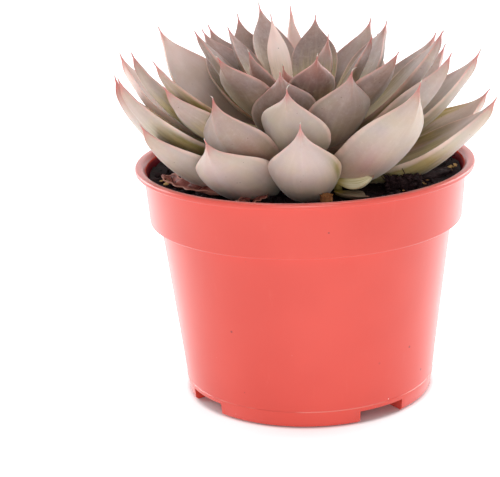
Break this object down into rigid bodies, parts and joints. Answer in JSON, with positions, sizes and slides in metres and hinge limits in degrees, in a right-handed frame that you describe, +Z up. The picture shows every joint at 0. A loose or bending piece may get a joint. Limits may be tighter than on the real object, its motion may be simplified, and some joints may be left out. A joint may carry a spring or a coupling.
{
  "type": "potted succulent",
  "caption": "Rosette succulent with cupped, pointed, pinkish leaves growing in potting mix in a round coral plastic nursery pot with a flared collar and lip.",
  "frame": {"origin": "centre of the pot's base, on the ground the pot stands on", "axes": "+Z up along the pot's axis; the front of the plant faces -Y; +X is to the right seen from the front"},
  "size_m": [0.1328, 0.1234, 0.132],
  "materials": {
    "pot_plastic": "semi-gloss moulded coral-red plastic with faint scuffs and specks of soil",
    "potting_mix": "damp, matt, coarse and fibrous peat mix with pale crumbs and flakes",
    "woody_stem": "dry, matt, ringed with old leaf scars",
    "succulent_leaf": "smooth and waxy, satin, pinkish beige to brownish mauve with thin pink-peach margins",
    "offset_leaf": "smooth and waxy, satin, yellow-green with pink margins",
    "dried_leaf": "dry, crumpled and matt, reddish brown",
    "bark": "dry, matt and fibrous, dark brown",
    "dried_stalk": "dry, matt, orange brown with a rough break"
  },
  "bodies": {
    "root": {"pot": "pot_plastic", "soil": "potting_mix", "stem": "woody_stem", "leaf_01": "succulent_leaf", "leaf_02": "succulent_leaf", "leaf_03": "succulent_leaf", "leaf_04": "succulent_leaf", "leaf_05": "succulent_leaf", "leaf_06": "succulent_leaf", "leaf_07": "succulent_leaf", "leaf_08": "succulent_leaf", "leaf_09": "succulent_leaf", "leaf_10": "succulent_leaf", "leaf_11": "succulent_leaf", "leaf_12": "succulent_leaf", "leaf_13": "succulent_leaf", "leaf_14": "succulent_leaf", "leaf_15": "succulent_leaf", "leaf_16": "succulent_leaf", "leaf_17": "succulent_leaf", "leaf_18": "succulent_leaf", "leaf_19": "succulent_leaf", "leaf_20": "succulent_leaf", "leaf_21": "succulent_leaf", "leaf_22": "succulent_leaf", "leaf_23": "succulent_leaf", "leaf_24": "succulent_leaf", "leaf_25": "succulent_leaf", "leaf_26": "succulent_leaf", "leaf_27": "succulent_leaf", "leaf_28": "succulent_leaf", "leaf_29": "succulent_leaf", "leaf_30": "succulent_leaf", "leaf_31": "succulent_leaf", "leaf_32": "succulent_leaf", "leaf_33": "succulent_leaf", "leaf_34": "succulent_leaf", "leaf_35": "succulent_leaf", "leaf_36": "succulent_leaf", "leaf_37": "succulent_leaf", "leaf_38": "succulent_leaf", "leaf_39": "succulent_leaf", "leaf_40": "succulent_leaf", "leaf_41": "succulent_leaf", "leaf_42": "succulent_leaf", "leaf_43": "succulent_leaf", "leaf_44": "succulent_leaf", "leaf_45": "succulent_leaf", "leaf_46": "succulent_leaf", "leaf_47": "succulent_leaf", "offset_leaf_1": "offset_leaf", "offset_leaf_2": "offset_leaf", "offset_leaf_3": "offset_leaf", "dried_leaf_1": "dried_leaf", "dried_leaf_2": "dried_leaf", "bark_1": "bark", "bark_2": "bark", "offset_stem": "offset_leaf", "stalk_stub": "dried_stalk"}
  },
  "joints": []
}
